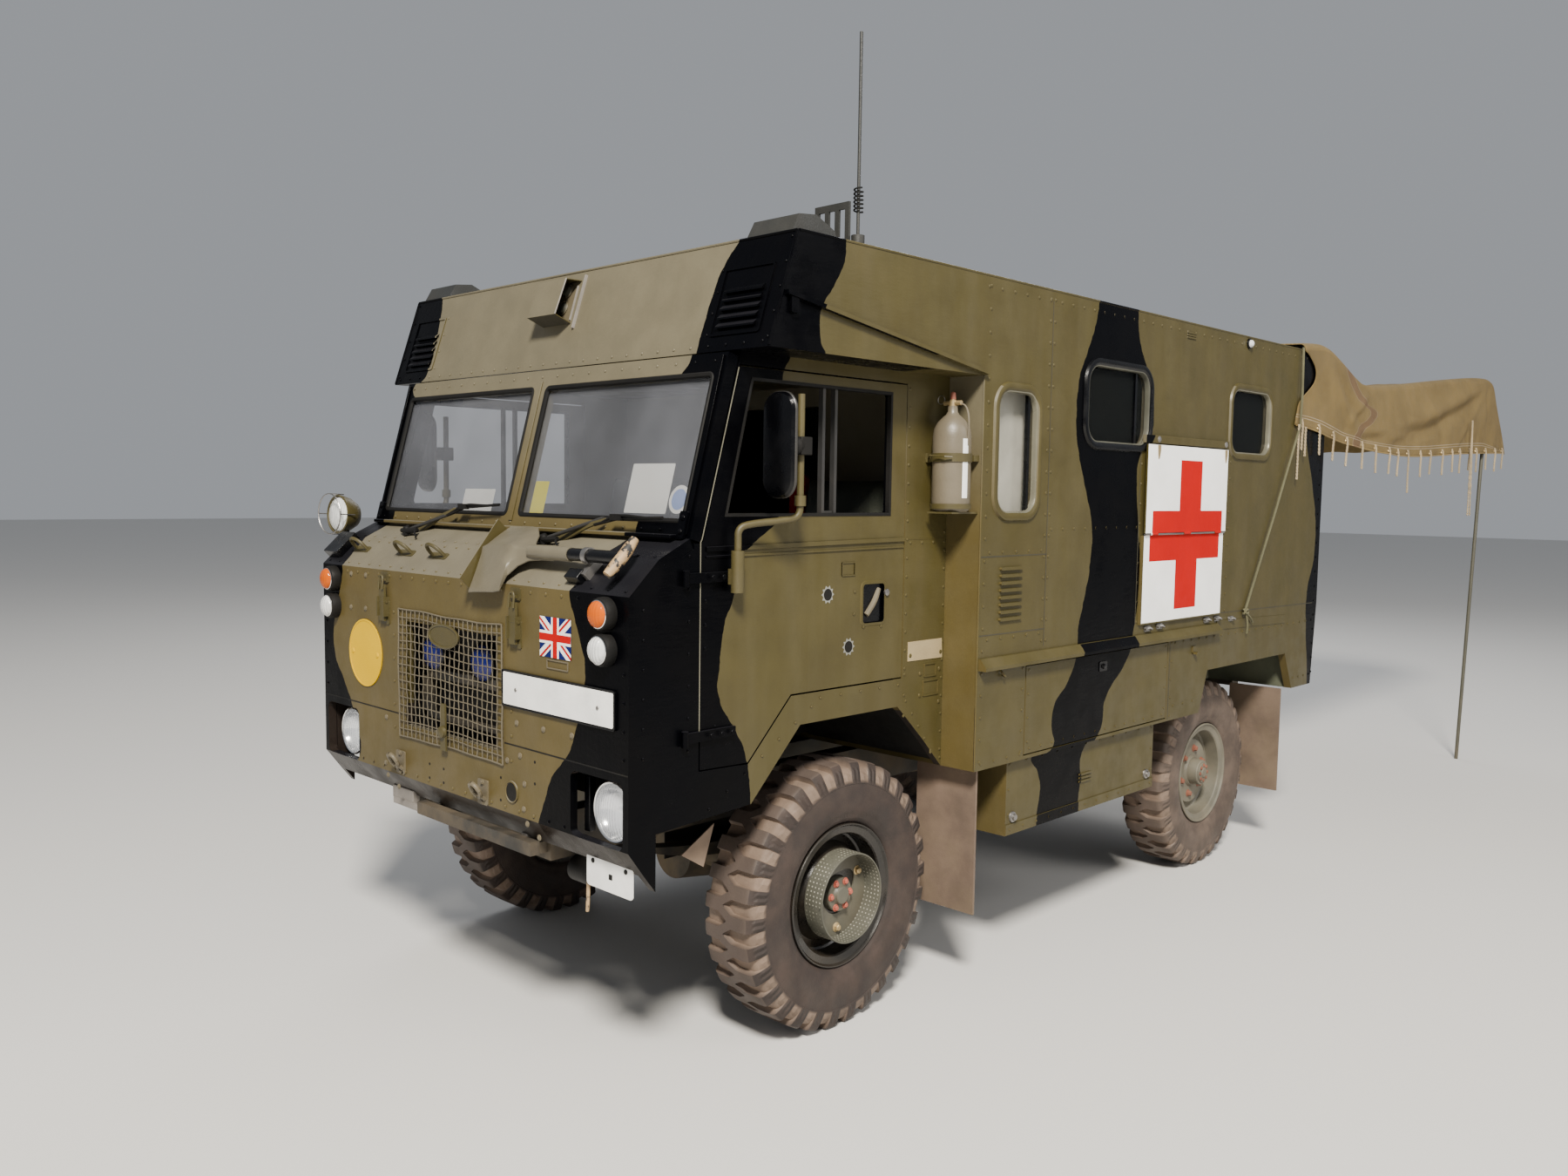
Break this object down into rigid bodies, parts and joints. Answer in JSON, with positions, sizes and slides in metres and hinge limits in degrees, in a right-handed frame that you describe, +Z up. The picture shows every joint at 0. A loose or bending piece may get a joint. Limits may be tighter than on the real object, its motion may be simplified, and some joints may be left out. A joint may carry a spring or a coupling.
{
  "type": "military ambulance truck",
  "caption": "Forward-control military ambulance truck with a box body, raked overhang above the cab, bar-lug tyres and a canvas canopy on poles behind.",
  "frame": {"origin": "on the ground, at the middle of the truck with its canopy in X and Y", "axes": "+X to the truck's own left, +Y backwards along it, +Z up"},
  "size_m": [2.192, 7.711, 3.074],
  "materials": {
    "chassis_black": "satin black chassis paint, dusty",
    "green_black_paint": "semi-gloss deep bronze green with black disruptive bands",
    "interior_paint": "dull grey-green inside paint",
    "engine_paint": "dusty painted castings",
    "wire_grille": "galvanised wire mesh with worn paint",
    "clear_glass": "clear window glass, slightly dusty",
    "seat_vinyl": "green-grey vinyl seat covers",
    "black_plastic": "black moulded plastic",
    "tyre_rubber": "dusty black tyre rubber",
    "front_wheel_paint": "black wheel paint with an olive ring guard",
    "rear_wheel_paint": "dusty olive-grey wheel paint",
    "flap_rubber": "dusty black rubber sheet",
    "red_board": "red and white painted board",
    "lamp_lens": "clear and coloured lamp lenses",
    "tool_paint": "olive tool paint with a worn blade",
    "bottle_paint": "grey-olive bottle paint with a pale strip",
    "roof_kit": "dark green covers and black bars",
    "canopy_canvas": "weathered olive canvas",
    "pole_wood": "thin painted tube"
  },
  "bodies": {
    "truck": {"chassis": "chassis_black", "leaf_springs": "chassis_black", "front_axle": "chassis_black", "rear_axle": "chassis_black", "power_unit": "engine_paint", "propshafts": "chassis_black", "radiator": "engine_paint", "cab_front": "green_black_paint", "front_valance": "green_black_paint", "grille": "wire_grille", "windscreen_frame": "green_black_paint", "window_glass": "clear_glass", "cab_side_left": "green_black_paint", "cab_side_right": "green_black_paint", "cab_floor": "interior_paint", "seats": "seat_vinyl", "steering_column": "interior_paint", "body_front": "green_black_paint", "body_side_left": "green_black_paint", "body_side_right": "green_black_paint", "body_roof": "green_black_paint", "body_floor": "interior_paint", "bench_left": "interior_paint", "bench_right": "interior_paint", "luton": "green_black_paint", "rear_frame": "green_black_paint", "side_rails": "green_black_paint", "sill_boxes": "green_black_paint", "mudflaps": "flap_rubber", "front_lamps": "lamp_lens", "rear_lamps": "lamp_lens", "wipers": "black_plastic", "shovel": "tool_paint", "gas_cylinder": "bottle_paint", "roof_fittings": "roof_kit", "lamp_box": "green_black_paint", "canopy": "canopy_canvas", "canopy_poles": "pole_wood"},
    "knuckle_left_body": {"knuckle_left": "chassis_black"},
    "knuckle_right_body": {"knuckle_right": "chassis_black"},
    "track_rod_body": {"track_rod": "chassis_black"},
    "front_wheel_left": {"wheel_front_left": "front_wheel_paint", "tyre_front_left": "tyre_rubber"},
    "front_wheel_right": {"wheel_front_right": "front_wheel_paint", "tyre_front_right": "tyre_rubber"},
    "rear_wheel_left": {"wheel_rear_left": "rear_wheel_paint", "tyre_rear_left": "tyre_rubber"},
    "rear_wheel_right": {"wheel_rear_right": "rear_wheel_paint", "tyre_rear_right": "tyre_rubber"},
    "steering_wheel_body": {"steering_wheel": "black_plastic"},
    "cab_door_left": {"door_left": "green_black_paint", "mirror_left": "green_black_paint"},
    "cab_door_right": {"door_right": "green_black_paint", "mirror_right": "green_black_paint"},
    "rear_leaf_left": {"rear_door_left": "green_black_paint"},
    "rear_leaf_right": {"rear_door_right": "green_black_paint"},
    "locker_lid_left": {"locker_door_left": "green_black_paint"},
    "locker_lid_right": {"locker_door_right": "green_black_paint"},
    "cross_board_left": {"cross_flap_left": "red_board"},
    "cross_board_right": {"cross_flap_right": "red_board"}
  },
  "joints": [
    {"name": "steer_left", "type": "hinge", "parent": "truck", "child": "knuckle_left_body", "pos_m": [0.59, -2.8945, 0.438], "axis": [0, 0, 1], "range_deg": [-30, 30]},
    {"name": "steer_right", "type": "hinge", "parent": "truck", "child": "knuckle_right_body", "pos_m": [-0.59, -2.8945, 0.438], "axis": [0, 0, 1], "range_deg": [-30, 30]},
    {"name": "track_rod_pivot", "type": "hinge", "parent": "knuckle_left_body", "child": "track_rod_body", "pos_m": [0.59, -2.7095, 0.37], "axis": [0, 0, 1], "range_deg": [-30, 30]},
    {"name": "steering_wheel_turn", "type": "hinge", "parent": "truck", "child": "steering_wheel_body", "pos_m": [-0.575, -3.2245, 1.44], "axis": [0, 0.6157, 0.788], "range_deg": [-360, 360]},
    {"name": "front_wheel_left_spin", "type": "hinge", "parent": "knuckle_left_body", "child": "front_wheel_left", "pos_m": [0.762, -2.8945, 0.438], "axis": [1, 0, 0], "continuous": true},
    {"name": "front_wheel_right_spin", "type": "hinge", "parent": "knuckle_right_body", "child": "front_wheel_right", "pos_m": [-0.762, -2.8945, 0.438], "axis": [1, 0, 0], "continuous": true},
    {"name": "rear_wheel_left_spin", "type": "hinge", "parent": "truck", "child": "rear_wheel_left", "pos_m": [0.7745, -0.3295, 0.438], "axis": [1, 0, 0], "continuous": true},
    {"name": "rear_wheel_right_spin", "type": "hinge", "parent": "truck", "child": "rear_wheel_right", "pos_m": [-0.7745, -0.3295, 0.438], "axis": [1, 0, 0], "continuous": true},
    {"name": "cab_door_left_hinge", "type": "hinge", "parent": "truck", "child": "cab_door_left", "pos_m": [0.902, -3.6165, 1.28], "axis": [0, 0, -1], "range_deg": [0, 72]},
    {"name": "cab_door_right_hinge", "type": "hinge", "parent": "truck", "child": "cab_door_right", "pos_m": [-0.902, -3.6165, 1.28], "axis": [0, 0, 1], "range_deg": [0, 72]},
    {"name": "rear_door_left_hinge", "type": "hinge", "parent": "truck", "child": "rear_leaf_left", "pos_m": [0.564, 0.5575, 1.62], "axis": [0, 0, -1], "range_deg": [0, 100]},
    {"name": "rear_door_right_hinge", "type": "hinge", "parent": "truck", "child": "rear_leaf_right", "pos_m": [-0.564, 0.5575, 1.62], "axis": [0, 0, 1], "range_deg": [0, 100]},
    {"name": "locker_left_hinge", "type": "hinge", "parent": "truck", "child": "locker_lid_left", "pos_m": [1.034, -1.5945, 1.136], "axis": [0, -1, 0], "range_deg": [0, 88]},
    {"name": "locker_right_hinge", "type": "hinge", "parent": "truck", "child": "locker_lid_right", "pos_m": [-1.034, -1.5945, 1.136], "axis": [0, 1, 0], "range_deg": [0, 88]},
    {"name": "cross_board_left_hinge", "type": "hinge", "parent": "truck", "child": "cross_board_left", "pos_m": [1.048, -0.9665, 1.592], "axis": [0, 1, 0], "range_deg": [0, 178]},
    {"name": "cross_board_right_hinge", "type": "hinge", "parent": "truck", "child": "cross_board_right", "pos_m": [-1.048, -0.9665, 1.592], "axis": [0, -1, 0], "range_deg": [0, 178]}
  ],
  "couplings": [
    {"joint": "steer_right", "follows": "steer_left", "ratio": 1},
    {"joint": "track_rod_pivot", "follows": "steer_left", "ratio": -1},
    {"joint": "steering_wheel_turn", "follows": "steer_left", "ratio": 10}
  ]
}
